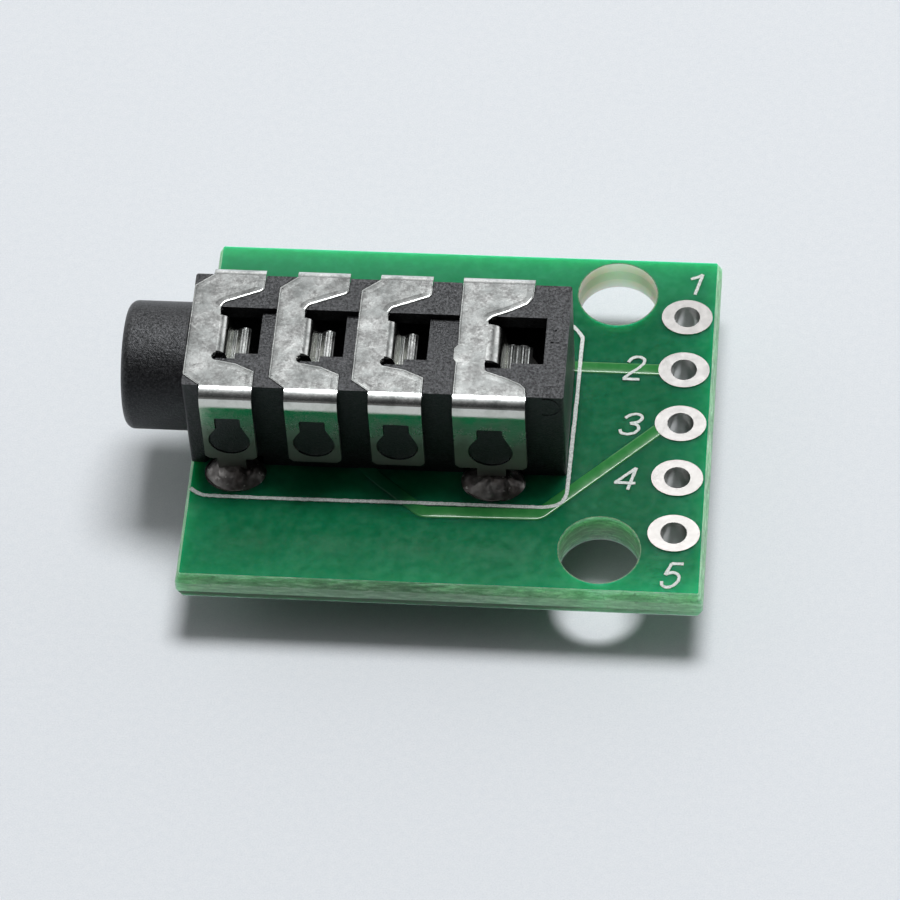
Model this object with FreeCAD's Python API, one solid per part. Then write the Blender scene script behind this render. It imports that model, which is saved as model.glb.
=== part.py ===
import FreeCAD, Part
import math
import os

os.makedirs("parts", exist_ok=True)
V = FreeCAD.Vector

# Audio jack socket soldered to a small breakout board, millimetres, +Z up.
# Working coordinates: x from the row of header holes (negative towards the
# jack's mouth), y from the jack's axis, z from the board's top face.
# Everything is moved to the row frame at export: origin at the middle of the
# footprint, at the tips of the solder joints the board stands on.

# ---------------------------------------------------------------- dimensions
# board
BOARD_X0, BOARD_X1 = -17.97, 1.03       # top face
BOARD_MID_Y = 0.04
BOARD_HALF_Y = 7.77
SCORE_X, SCORE_Y = 0.17, 0.15   # the scored edges slope outwards by this
SCORE_TOP, SCORE_WEB = 0.45, 0.92       # slope ends and web ends, below the top face
BOARD_T = 1.40
STAND = 1.60            # solder joints stand this far below the board
SCREW_MID_Y = 0.09
SCREW_HOLE_R = 1.50
SCREW_HOLE_X = -2.68
SCREW_HOLE_DY = 6.03
PITCH = 2.54
PAD_AX, PAD_AY = 0.96, 0.83     # half axes of an oval header pad
PAD_HOLE_R = 0.49
PAD_DRILL_R = 0.55
FOIL = 0.035            # copper sunk into the coating by this
PAD_PROUD = 0.05        # tinned pads stand proud by this
TRACK_PROUD = 0.03
TRACK_W = 0.42

# housing
BODY_X0, BODY_X1 = -18.07, -4.10
BODY_HALF_Y = 2.62
BODY_TOP = 4.65
AXIS_Z = 2.40
NOSE_R = 2.39
NOSE_X0 = -20.50
NOSE_EDGE = 0.35
BORE_R = 1.80
BORE_MOUTH_END = -17.10  # the guiding part of the bore ends before the first window
CAVITY_R = 1.98         # behind it the plug has more room, under a flat roof
CAVITY_TOP = 4.14
BORE_END = -4.93
CHANNEL_HALF = 1.08     # centre strip between the rails
CHANNEL_TOP = 4.38
PEG_R = 0.45
PEG_X = (-14.8, -8.6)

# contacts
SHEET = 0.20
CLIP_HALF = 3.15        # outside of the side plates
CLIP_TOP = 4.66         # the top plates lie flush in the moulding
BEND_R1, BEND_R2, BEND_A = 0.48, 0.95, math.radians(26)   # tight bend, then an easy one
FLAT_END = CLIP_HALF - BEND_R1 * math.cos(BEND_A) - BEND_R2 * (1 - math.cos(BEND_A))   # end of the top plate's flat
BEND_END = CLIP_TOP - BEND_R1 + (BEND_R1 - BEND_R2) * math.sin(BEND_A)   # side plate flat from here down
LAND_HALF = 2.93        # plastic lands that back the side plates
PLATE_BOTTOM = 0.97
TAIL_W = 1.05
TAIL_W2 = 0.84
TAIL_TIP = -BOARD_T - STAND + 0.18
TAIL_Y = CLIP_HALF - SHEET / 2
PIN_DRILL_R = 0.58
PIN_HOLE_R = 0.53
PIN_PAD_AX, PIN_PAD_AY = 1.08, 0.90
PIN_PAD_5 = 0.85

# name, fold x0, fold x1, bulge (how far the top plate reaches left of the fold),
# tail side (-1 near, +1 far)
LEAF_A = [(-0.35, 4.56), (0.0, 4.56), (0.16, 4.51), (0.27, 4.36), (0.32, 4.06), (0.37, 3.76), (0.50, 3.66), (0.66, 3.74),
          (0.86, 3.86), (1.06, 3.76)]
LEAF_T = [(-0.35, 4.56), (0.04, 4.56), (0.30, 4.50), (0.47, 4.30), (0.53, 3.96), (0.58, 3.50), (0.70, 3.36), (0.86, 3.44),
          (1.03, 3.34), (1.24, 3.40), (1.44, 3.34), (1.56, 3.26)]
# keyhole in the side plates: radius of the round, its lowest point, top of the neck
KEY = (0.77, 1.28, 3.38)
KEY_TIP = (0.82, 1.14, 3.27)
KEY_NECK = 0.475
CLIPS = [
    ("contact_sleeve", -17.40, -15.47, 0.66, -1),
    ("contact_ring_2", -14.28, -12.34, 0.62, +1),
    ("contact_ring_1", -11.20, -9.26, 0.66, +1),
    ("contact_tip", -8.13, -5.48, 0.0, -1),
]
LEAF_HALF = 0.84
LEAF_MID = -0.12

# ------------------------------------------------------------------ helpers
DX = -(NOSE_X0 + BOARD_X1 + SCORE_X) / 2.0
DY = -BOARD_MID_Y
DZ = BOARD_T + STAND


def box(x0, x1, y0, y1, z0, z1):
    return Part.makeBox(x1 - x0, y1 - y0, z1 - z0, V(x0, y0, z0))


def cyl(r, h, x, y, z, axis=(0, 0, 1)):
    return Part.makeCylinder(r, h, V(x, y, z), V(*axis))


def prism_xy(points, z0, z1):
    wire = Part.makePolygon([V(x, y, z0) for x, y in points] + [V(points[0][0], points[0][1], z0)])
    return Part.Face(wire).extrude(V(0, 0, z1 - z0))


def prism_xz(points, y0, y1):
    wire = Part.makePolygon([V(x, y0, z) for x, z in points] + [V(points[0][0], y0, points[0][1])])
    return Part.Face(wire).extrude(V(0, y1 - y0, 0))


def round_corners(points, radii):
    """Closed outline in XY with each corner rounded by its own radius."""
    n = len(points)
    edges = []
    ends = []
    for i in range(n):
        p = V(points[i][0], points[i][1], 0)
        a = V(points[i - 1][0], points[i - 1][1], 0) - p
        b = V(points[(i + 1) % n][0], points[(i + 1) % n][1], 0) - p
        r = radii[i]
        if r <= 0:
            ends.append((p, None, p))
            continue
        la, lb = a.Length, b.Length
        a.normalize()
        b.normalize()
        half = a.getAngle(b) / 2.0
        cut = min(r / math.tan(half), 0.48 * la, 0.48 * lb)
        rr = cut * math.tan(half)
        bis = a + b
        bis.normalize()
        c = p + bis * (rr / math.sin(half))
        mid = c - bis * rr
        ends.append((p + a * cut, mid, p + b * cut))
    for i in range(n):
        s, m, e = ends[i]
        if m is not None:
            edges.append(Part.Arc(s, m, e).toShape())
        nxt = ends[(i + 1) % n][0]
        if (nxt - e).Length > 1e-6:
            edges.append(Part.LineSegment(e, nxt).toShape())
    return Part.Wire(edges)


def plate(points, radii, z0, z1):
    wire = round_corners(points, radii)
    wire.translate(V(0, 0, z0))
    return Part.Face(wire).extrude(V(0, 0, z1 - z0))


def ellipse_solid(ax, ay, x, y, z0, z1):
    if abs(ax - ay) < 1e-9:
        return cyl(ax, z1 - z0, x, y, z0)
    e = Part.Ellipse(V(x, y, z0), max(ax, ay), min(ax, ay))
    shape = e.toShape()
    if ay > ax:
        shape.rotate(V(x, y, z0), V(0, 0, 1), 90)
    return Part.Face(Part.Wire([shape])).extrude(V(0, 0, z1 - z0))


def fuse(shapes):
    out = shapes[0]
    if len(shapes) > 1:
        out = out.multiFuse(shapes[1:])
    return out.removeSplitter()


def single(shape, name):
    solids = shape.Solids
    if len(solids) != 1:
        print("NOTE", name, "has", len(solids), "solids", [round(s.Volume, 5) for s in solids])
    return shape


NODES = {}


def add(name, shape):
    single(shape, name)
    NODES[name] = shape


# ---------------------------------------------------------------- the leaf
def leaf_profile(pts, x_edge, radius, t):
    """Sheet of thickness t along a polyline with rounded bends, as an XZ wire."""
    n = len(pts)
    P = [(x_edge + u, z) for u, z in pts]
    # rounded centreline as a fine polyline
    line = [P[0]]
    for i in range(1, n - 1):
        p, a, b = P[i], P[i - 1], P[i + 1]
        va = (a[0] - p[0], a[1] - p[1])
        vb = (b[0] - p[0], b[1] - p[1])
        la, lb = math.hypot(*va), math.hypot(*vb)
        k = min(radius, 0.5 * la, 0.5 * lb)
        s = (p[0] + va[0] / la * k, p[1] + va[1] / la * k)
        e = (p[0] + vb[0] / lb * k, p[1] + vb[1] / lb * k)
        for j in range(7):
            w = j / 6.0
            x = (1 - w) ** 2 * s[0] + 2 * w * (1 - w) * p[0] + w * w * e[0]
            z = (1 - w) ** 2 * s[1] + 2 * w * (1 - w) * p[1] + w * w * e[1]
            if math.hypot(x - line[-1][0], z - line[-1][1]) > 0.012:
                line.append((x, z))
    line.append(P[-1])
    up, lo = [], []
    for i, p in enumerate(line):
        a = line[max(i - 1, 0)]
        b = line[min(i + 1, len(line) - 1)]
        tx, tz = b[0] - a[0], b[1] - a[1]
        m = math.hypot(tx, tz)
        nx, nz = -tz / m, tx / m
        up.append((p[0] + nx * t / 2, p[1] + nz * t / 2))
        lo.append((p[0] - nx * t / 2, p[1] - nz * t / 2))
    return up, lo


def leaf_solid(pts, x_edge, t):
    up, lo = leaf_profile(pts, x_edge, 0.16, t)
    y0, y1 = LEAF_MID - LEAF_HALF, LEAF_MID + LEAF_HALF

    def curve(points):
        c = Part.BSplineCurve()
        c.interpolate([V(x, y0, z) for x, z in points])
        return c.toShape()

    # straight start, then the curved strip
    wire = Part.Wire([
        curve(up),
        Part.LineSegment(V(up[-1][0], y0, up[-1][1]), V(lo[-1][0], y0, lo[-1][1])).toShape(),
        curve(list(reversed(lo))),
        Part.LineSegment(V(lo[0][0], y0, lo[0][1]), V(up[0][0], y0, up[0][1])).toShape(),
    ])
    return Part.Face(wire).extrude(V(0, y1 - y0, 0))


# -------------------------------------------------------------- the contacts
def keyhole(xc, y0, y1, key, grow=0.0):
    """Round hole with a narrower neck above it and sloping shoulders, through a side plate."""
    h = abs(y1 - y0)
    y = min(y0, y1)
    r, zc, n, top = key[0] + grow, key[0] + key[1], KEY_NECK + grow, key[2] + grow
    # each shoulder leaves the round at a tangent and runs up to the neck
    sides = []
    for sign, angle in ((1, 22.0), (-1, 32.0)):
        a = math.radians(angle)
        tx, tz = r * math.cos(a), zc + r * math.sin(a)
        sides.append([(xc + sign * n, tz + (tx - n) / math.tan(a)), (xc + sign * tx, tz)])
    c = 0.05
    pts = [(xc - n, top - c), (xc - n + c, top), (xc + n - c, top), (xc + n, top - c)] + sides[0]
    pts += [(xc + 0.5 * r, zc), (xc - 0.5 * r, zc)] + sides[1][::-1]
    round_part = cyl(r, h, xc, y, zc, (0, 1, 0))
    return fuse([round_part, prism_xz(pts, y, y + h)])


def bend(x0, x1, side):
    """Bend between the top plate and a side plate: a tight arc, then an easy one."""
    c1 = (FLAT_END, CLIP_TOP - BEND_R1)
    c2 = (c1[0] + (BEND_R1 - BEND_R2) * math.cos(BEND_A), c1[1] + (BEND_R1 - BEND_R2) * math.sin(BEND_A))

    def at(c, r, a):
        return V(x0, side * (c[0] + r * math.cos(a)), c[1] + r * math.sin(a))

    q = math.pi / 2
    m1, m2 = (q + BEND_A) / 2, BEND_A / 2
    r1, r2 = BEND_R1 - SHEET, BEND_R2 - SHEET
    edges = [
        Part.Arc(at(c1, BEND_R1, q), at(c1, BEND_R1, m1), at(c1, BEND_R1, BEND_A)).toShape(),
        Part.Arc(at(c2, BEND_R2, BEND_A), at(c2, BEND_R2, m2), at(c2, BEND_R2, 0)).toShape(),
        Part.LineSegment(at(c2, BEND_R2, 0), at(c2, r2, 0)).toShape(),
        Part.Arc(at(c2, r2, 0), at(c2, r2, m2), at(c2, r2, BEND_A)).toShape(),
        Part.Arc(at(c1, r1, BEND_A), at(c1, r1, m1), at(c1, r1, q)).toShape(),
        Part.LineSegment(at(c1, r1, q), at(c1, BEND_R1, q)).toShape(),
    ]
    return Part.Face(Part.Wire(edges)).extrude(V(x1 - x0, 0, 0))


CLIP_OUTLINES = {}


def contact(name, x0, x1, bulge, tail):
    xc = (x0 + x1) / 2.0
    fy = FLAT_END
    z0, z1 = CLIP_TOP - SHEET, CLIP_TOP
    if name != "contact_tip":
        e = x0 + 0.43                  # inner edge, where the leaf folds down
        outline = [
            (x0, fy), (x0 - bulge, 2.08), (x0 - bulge, -2.13), (x0, -fy),
            (x1, -fy), (x1, -1.90), (x0 + 1.22, -1.56), (e + 0.02, -1.42),
            (e - 0.06, -1.24), (e, LEAF_MID - LEAF_HALF - 0.08), (e, LEAF_MID + LEAF_HALF + 0.04),
            (e - 0.03, 1.04), (e + 0.10, 1.29), (x1 - 0.07, 1.88), (x1, 2.00), (x1, fy),
        ]
        radii = [0, 0.10, 0.10, 0, 0, 0.06, 0.20, 0.08, 0.08, 0.0, 0.0, 0.08, 0.06, 0.04, 0.04, 0]
        leaf, edge, leaf_t = LEAF_A, e, 0.16
        notch = (e + 0.06, LEAF_MID - LEAF_HALF - 0.28, 0.19)
    else:
        e = -7.06
        outline = [
            (x0, fy), (x0, 0.62), (x0 + 0.03, -0.30), (x0 - 0.10, -0.48), (x0 - 0.10, -0.98), (x0, -1.12), (x0, -fy),
            (x1, -fy), (x1 - 0.05, -2.22), (x1 - 0.24, -2.02), (e + 0.80, -1.76), (e + 0.02, -1.48),
            (e - 0.02, -1.16), (e, LEAF_MID - LEAF_HALF - 0.06), (e, LEAF_MID + LEAF_HALF + 0.02),
            (e - 0.04, 0.84), (e + 0.12, 1.04), (e + 0.75, 1.33), (x1 - 0.20, 1.71), (x1 - 0.02, 2.02), (x1, fy),
        ]
        radii = [0, 0, 0.02, 0.02, 0.02, 0.02, 0, 0, 0.06, 0.10, 0.2, 0.10, 0.05, 0, 0, 0.05, 0.08, 0.2, 0.2, 0.10, 0]
        leaf, edge, leaf_t = LEAF_T, e, 0.16
        notch = None
    CLIP_OUTLINES[name] = (outline, radii)
    top = plate(outline, radii, z0, z1)
    if notch:
        top = top.cut(cyl(notch[2], 1.0, notch[0], notch[1], z0 - 0.4))
    parts = [top]
    for side in (-1, 1):
        parts.append(bend(x0, x1, side))
        y0, y1 = sorted((side * CLIP_HALF, side * (CLIP_HALF - SHEET)))
        c = 0.16
        if side == tail:
            t, w = TAIL_W / 2, TAIL_W2 / 2
            pts = [(x0, BEND_END), (x0, PLATE_BOTTOM + c), (x0 + c, PLATE_BOTTOM), (xc - t, PLATE_BOTTOM),
                   (xc - t, 0.22), (xc - w, 0.10), (xc - w, TAIL_TIP + 0.35), (xc - 0.16, TAIL_TIP),
                   (xc + 0.16, TAIL_TIP), (xc + w, TAIL_TIP + 0.35), (xc + w, 0.10), (xc + t, 0.22),
                   (xc + t, PLATE_BOTTOM), (x1 - c, PLATE_BOTTOM), (x1, PLATE_BOTTOM + c), (x1, BEND_END)]
        else:
            pts = [(x0, BEND_END), (x0, PLATE_BOTTOM + c), (x0 + c, PLATE_BOTTOM),
                   (x1 - c, PLATE_BOTTOM), (x1, PLATE_BOTTOM + c), (x1, BEND_END)]
        side_plate = prism_xz(pts, y0, y1)
        side_plate = side_plate.cut(keyhole(xc, y0 - 0.1, y1 + 0.1, KEY_TIP if name == "contact_tip" else KEY))
        parts.append(side_plate)
    strip = leaf_solid(leaf, edge, leaf_t)
    # the strip starts inside the top plate's thickness
    parts.append(strip)
    return fuse(parts)


contacts = {}
for c in CLIPS:
    contacts[c[0]] = contact(*c)

# fifth contact: a strip standing at the back of the bore, its lip under the tip leaf
SW_X0, SW_X1 = -5.16, -4.96
SW_HALF = 0.50
SW_LIP_Z = 3.175
switch = prism_xz([
    (SW_X1, TAIL_TIP + 0.3), (SW_X1, 1.98), (-5.52, SW_LIP_Z), (-5.72, SW_LIP_Z),
    (-5.72, SW_LIP_Z - SHEET), (-5.64, SW_LIP_Z - SHEET), (SW_X0, 1.92), (SW_X0, TAIL_TIP + 0.3),
    (SW_X0 + 0.05, TAIL_TIP), (SW_X1 - 0.05, TAIL_TIP)],
    -SW_HALF, SW_HALF)
contacts["contact_switch"] = switch
# narrow the part of the strip that goes through the board
switch_tail_trim = [box(-6, -4, -1, -0.42, TAIL_TIP - 1, -0.02), box(-6, -4, 0.42, 1, TAIL_TIP - 1, -0.02)]
for t in switch_tail_trim:
    switch = switch.cut(t)
contacts["contact_switch"] = switch

# --------------------------------------------------------------- the housing
body = box(BODY_X0, BODY_X1, -BODY_HALF_Y, BODY_HALF_Y, 0.0, BODY_TOP)
nose = cyl(NOSE_R, BODY_X0 - NOSE_X0, NOSE_X0, 0, AXIS_Z, (1, 0, 0))
rim = [e for e in nose.Edges if abs(e.CenterOfMass.x - NOSE_X0) < 1e-6 and e.Length > 5]
nose = nose.makeFillet(NOSE_EDGE, rim)
housing = fuse([body, nose])
# bore with a small lead-in chamfer at the mouth
housing = housing.cut(cyl(BORE_R, BORE_MOUTH_END - NOSE_X0 + 1, NOSE_X0 - 1, 0, AXIS_Z, (1, 0, 0)))
cavity = cyl(CAVITY_R, BORE_END - BORE_MOUTH_END, BORE_MOUTH_END, 0, AXIS_Z, (1, 0, 0))
cavity = cavity.common(box(BORE_MOUTH_END, BORE_END, -3, 3, 0.42, CAVITY_TOP))
housing = housing.cut(cavity)
housing = housing.cut(Part.makeCone(BORE_R + 0.25, BORE_R, 0.25, V(NOSE_X0, 0, AXIS_Z), V(1, 0, 0)))

# centre channel between the rails
WINDOW_X = []
for i, c in enumerate(CLIPS):
    if c[0] == "contact_tip":
        WINDOW_X.append((-7.10, -4.93))
    else:
        WINDOW_X.append((c[1] + 0.40, c[2] + 0.03))
housing = housing.cut(box(WINDOW_X[0][0], WINDOW_X[3][1], -CHANNEL_HALF, CHANNEL_HALF, CHANNEL_TOP, BODY_TOP + 1))
# windows, open down into the bore
for x0, x1 in WINDOW_X:
    housing = housing.cut(box(x0, x1, -CHANNEL_HALF, CHANNEL_HALF, AXIS_Z, BODY_TOP + 1))
# shallow pockets beside the leaf's root, wider than the window on the near side
for i, (x0, x1) in enumerate(WINDOW_X):
    w = 0.76 if i < 3 else 0.98
    housing = housing.cut(box(x0 - 0.10, x0 + w, -1.42, CHANNEL_HALF, 4.33, BODY_TOP + 1))
# the top plates lie in recesses of their own outline
for name, x0, x1, bulge, tail in CLIPS:
    flat = Part.Face(round_corners(*CLIP_OUTLINES[name])).makeOffset2D(0.03)
    flat.translate(V(0, 0, CLIP_TOP - SHEET))
    housing = housing.cut(flat.extrude(V(0, 0, 1.0)))
# corners relieved where the contacts fold over
for name, x0, x1, bulge, tail in CLIPS:
    for side in (-1, 1):
        y0, y1 = sorted((side * 2.40, side * 3.60))
        housing = housing.cut(box(x0 - 0.03, x1 + 0.03, y0, y1, CLIP_TOP - SHEET - 0.04, CLIP_TOP + 1))
# lands that back the side plates, and bosses that fill their keyholes
bosses = []
for name, x0, x1, bulge, tail in CLIPS:
    xc = (x0 + x1) / 2.0
    for side in (-1, 1):
        y0, y1 = sorted((side * (BODY_HALF_Y - 0.1), side * LAND_HALF))
        bosses.append(box(x0 + 0.14, x1 - 0.14, y0, y1, PLATE_BOTTOM + 0.10, BEND_END - 0.06))
        y0, y1 = sorted((side * (BODY_HALF_Y - 0.1), side * (CLIP_HALF - 0.05)))
        bosses.append(keyhole(xc, y0, y1, KEY_TIP if name == "contact_tip" else KEY, grow=-0.035))
housing = fuse([housing] + bosses)
# locating pegs
pegs = [cyl(PEG_R, BOARD_T + 0.15, x, 0, -BOARD_T - 0.05) for x in PEG_X]
housing = fuse([housing] + pegs)
# room for solder round each tail, and a slot for the switch strip
for name, x0, x1, bulge, tail in CLIPS:
    xc = (x0 + x1) / 2.0
    housing = housing.cut(ellipse_solid(PIN_PAD_AX + 0.12, PIN_PAD_AY + 0.12, xc, tail * TAIL_Y, 0.0, 0.52))
housing = housing.cut(box(SW_X0 - 0.03, SW_X1 + 0.03, -SW_HALF - 0.04, SW_HALF + 0.04, -0.5, AXIS_Z))
housing = housing.cut(cyl(PIN_PAD_5 + 0.06, 0.35, (SW_X0 + SW_X1) / 2, 0, 0.0))
# moulded marks on the end block and a round ejector mark on the near wall
housing = housing.cut(box(-4.62, -4.54, -0.10, 0.55, BODY_TOP - 0.05, BODY_TOP + 1))
housing = housing.cut(box(-4.74, -4.42, -0.10, -0.02, BODY_TOP - 0.05, BODY_TOP + 1))
ring = cyl(0.50, 0.2, -4.72, -BODY_HALF_Y - 0.1, 4.10, (0, 1, 0)).cut(cyl(0.44, 0.2, -4.72, -BODY_HALF_Y - 0.1, 4.10, (0, 1, 0)))
ring = ring.common(box(-4.9, -4.10, -BODY_HALF_Y - 0.1, -BODY_HALF_Y + 0.03, 3.4, 4.9))
housing = housing.cut(ring)
# small edge round on the two end faces' upright edges
uprights = [e for e in housing.Edges
            if abs(abs(e.CenterOfMass.y) - BODY_HALF_Y) < 1e-6
            and (abs(e.CenterOfMass.x - BODY_X0) < 1e-6 or abs(e.CenterOfMass.x - BODY_X1) < 1e-6)
            and e.BoundBox.ZLength > 3]
try:
    housing = housing.makeFillet(0.10, uprights)
except Exception as err:
    print("NOTE upright edges left sharp", err)

# ------------------------------------------------------------ board and copper
TAIL_POS = {
    1: ((CLIPS[0][1] + CLIPS[0][2]) / 2, -TAIL_Y),
    2: ((CLIPS[3][1] + CLIPS[3][2]) / 2, -TAIL_Y),
    3: ((CLIPS[1][1] + CLIPS[1][2]) / 2, TAIL_Y),
    4: ((CLIPS[2][1] + CLIPS[2][2]) / 2, TAIL_Y),
    5: ((SW_X0 + SW_X1) / 2, 0.0),
}
PIN_AXES = {n: (PIN_PAD_AX, PIN_PAD_AY) for n in range(1, 5)}
PIN_AXES[5] = (PIN_PAD_5, PIN_PAD_5)
HEADER_POS = {n: (0.0, (3 - n) * PITCH) for n in range(1, 6)}


def eyelet(x, y, ax, ay, hole_r, drill_r):
    top = ellipse_solid(ax, ay, x, y, -FOIL, PAD_PROUD)
    bottom = ellipse_solid(ax, ay, x, y, -BOARD_T - PAD_PROUD, -BOARD_T + FOIL)
    barrel = cyl(drill_r, BOARD_T, x, y, -BOARD_T)
    s = fuse([top, bottom, barrel])
    return s.cut(cyl(hole_r, BOARD_T + 1, x, y, -BOARD_T - 0.5)).removeSplitter()


header = {n: eyelet(x, y, PAD_AX, PAD_AY, PAD_HOLE_R, PAD_DRILL_R) for n, (x, y) in HEADER_POS.items()}
pins = {n: eyelet(x, y, PIN_AXES[n][0], PIN_AXES[n][1], PIN_HOLE_R, PIN_DRILL_R) for n, (x, y) in TAIL_POS.items()}


def track(points, width, z0, z1):
    """Constant-width track with round joints and ends, as one flat solid."""
    pieces = []
    for (xa, ya), (xb, yb) in zip(points[:-1], points[1:]):
        L = math.hypot(xb - xa, yb - ya)
        ux, uy = (xb - xa) / L, (yb - ya) / L
        px, py = -uy * width / 2, ux * width / 2
        pieces.append(prism_xy([(xa + px, ya + py), (xb + px, yb + py), (xb - px, yb - py), (xa - px, ya - py)], z0, z1))
    for x, y in points:
        pieces.append(cyl(width / 2, z1 - z0, x, y, z0))
    return fuse(pieces)


TOP_Z = (-FOIL, TRACK_PROUD)
BOT_Z = (-BOARD_T - TRACK_PROUD, -BOARD_T + FOIL)
tracks = {
    2: track([(-0.4, 2.53), (-9.2, 2.53), (TAIL_POS[4][0], TAIL_POS[4][1])], TRACK_W, *TOP_Z),
    3: track([(-0.3, 0.0), (-0.85, -0.32), (-4.98, -4.44), (-9.30, -4.52), (-11.0, -3.10), (-12.4, -1.75), (-14.9, -1.60),
              (TAIL_POS[1][0] + 0.3, -2.45)], TRACK_W, *TOP_Z),
    1: track([(-0.3, 5.08), (-1.0, 4.30), (-12.6, 4.30), (TAIL_POS[3][0], TAIL_POS[3][1] + 0.2)], TRACK_W, *BOT_Z),
    4: track([(-0.3, -2.54), (-2.7, -2.54), (TAIL_POS[5][0] + 0.2, -0.2)], TRACK_W, *BOT_Z),
    5: track([(-0.3, -5.08), (-1.1, -4.10), (-5.6, -4.10), (TAIL_POS[2][0], TAIL_POS[2][1] - 0.2)], TRACK_W, *BOT_Z),
}
# each track stops at the outline of the eyelets it meets
PADS_PLAN = [(x, y, PAD_AX, PAD_AY) for x, y in HEADER_POS.values()] + [(x, y, *PIN_AXES[n]) for n, (x, y) in TAIL_POS.items()]
for n in tracks:
    for x, y, ax, ay in PADS_PLAN:
        tool = ellipse_solid(ax, ay, x, y, -BOARD_T - 1, 1)
        if tool.common(tracks[n]).Volume > 1e-9:
            tracks[n] = tracks[n].cut(tool)
    tracks[n] = max(tracks[n].Solids, key=lambda s: s.Volume)



def rim_wire(grow, z, corner):
    """The board's outline grown by a share of the score's slope, corners clipped."""
    xa, xb = BOARD_X0 - grow * SCORE_X, BOARD_X1 + grow * SCORE_X
    ya, yb = BOARD_MID_Y - BOARD_HALF_Y - grow * SCORE_Y, BOARD_MID_Y + BOARD_HALF_Y + grow * SCORE_Y
    k = corner
    pts = [(xa + k, ya), (xb - k, ya), (xb, ya + k), (xb, yb - k), (xb - k, yb), (xa + k, yb), (xa, yb - k), (xa, ya + k)]
    return Part.makePolygon([V(x, y, z) for x, y in pts] + [V(pts[0][0], pts[0][1], z)])


# scored and snapped from its panel: sloped above and below, a torn web between
board = Part.makeLoft([rim_wire(0, 0.0, 0.05), rim_wire(1, -SCORE_TOP, 0.07), rim_wire(1, -SCORE_WEB, 0.07),
                       rim_wire(0, -BOARD_T, 0.05)], True, True)
for s in (-1, 1):
    board = board.cut(cyl(SCREW_HOLE_R, 4, SCREW_HOLE_X, SCREW_MID_Y + s * SCREW_HOLE_DY, -2.5))
for x in PEG_X:
    board = board.cut(cyl(PEG_R + 0.03, 4, x, 0, -2.5))
for x, y in HEADER_POS.values():
    board = board.cut(cyl(PAD_DRILL_R, 4, x, y, -2.5))
for x, y in TAIL_POS.values():
    board = board.cut(cyl(PIN_DRILL_R, 4, x, y, -2.5))
for s in list(header.values()) + list(pins.values()) + list(tracks.values()):
    board = board.cut(s)
board = board.removeSplitter()

# the housing clears the copper that passes under it
for s in list(pins.values()) + list(tracks.values()):
    housing = housing.cut(s)
housing = housing.removeSplitter()


# ------------------------------------------------------------- solder joints
def turned(prof, x, y):
    wire = Part.makePolygon([V(r, 0, z) for r, z in prof] + [V(prof[0][0], 0, prof[0][1])])
    s = Part.Face(wire).revolve(V(0, 0, 0), V(0, 0, 1), 360)
    s.translate(V(x, y, 0))
    return s


def joint(x, y, tail_shape, eyelet_shape, small):
    """Solder round a tail: fillet on top, filled hole, cone below with a small flat."""
    zb = -BOARD_T
    if small:
        prof = [(0, 0.16), (0.6, 0.14), (0.80, PAD_PROUD)]
    else:
        prof = [(0, 0.50), (0.34, 0.46), (0.52, 0.36), (0.70, 0.21), (0.86, PAD_PROUD)]
    rim = 0.80 if small else 0.85
    prof += [(PIN_HOLE_R, PAD_PROUD), (PIN_HOLE_R, zb - PAD_PROUD), (rim, zb - PAD_PROUD), (rim - 0.10, zb - 0.22),
             (0.62, zb - 0.52), (0.54, zb - 0.84), (0.48, zb - 1.14), (0.40, zb - 1.40), (0.28, zb - STAND), (0, zb - STAND)]
    return turned(prof, x, y).cut(eyelet_shape).cut(tail_shape)


solder = {}
for n, (x, y) in TAIL_POS.items():
    owner = {1: "contact_sleeve", 2: "contact_tip", 3: "contact_ring_2", 4: "contact_ring_1", 5: "contact_switch"}[n]
    s = joint(x, y, contacts[owner], pins[n], n == 5)
    s = s.cut(housing)
    solids = sorted(s.Solids, key=lambda q: -q.Volume)
    print("solder", n, [round(q.Volume, 4) for q in solids])
    solder[n] = solids[0]

# ------------------------------------------------------------------- export
for name, s in contacts.items():
    add(name, s)
add("jack_housing", housing)
add("pcb_board", board)
for n in range(1, 6):
    add("header_pad_%d" % n, header[n])
    add("pin_pad_%d" % n, pins[n])
    add("track_%d" % n, tracks[n])
    add("solder_joint_%d" % n, solder[n])

for name, s in NODES.items():
    s = s.copy()
    s.translate(V(DX, DY, DZ))
    bb = s.BoundBox
    print("%-16s %s vol %.4f  x %.2f..%.2f y %.2f..%.2f z %.2f..%.2f" % (
        name, "ok" if s.isValid() else "INVALID", s.Volume, bb.XMin, bb.XMax, bb.YMin, bb.YMax, bb.ZMin, bb.ZMax))
    s.exportStep("parts/" + name + ".step")
print(len(NODES), "nodes; shift", round(DX, 4), round(DY, 4), round(DZ, 4))
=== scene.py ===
import math
import random

import bpy
import bmesh
from mathutils import Matrix, Vector, noise


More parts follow.
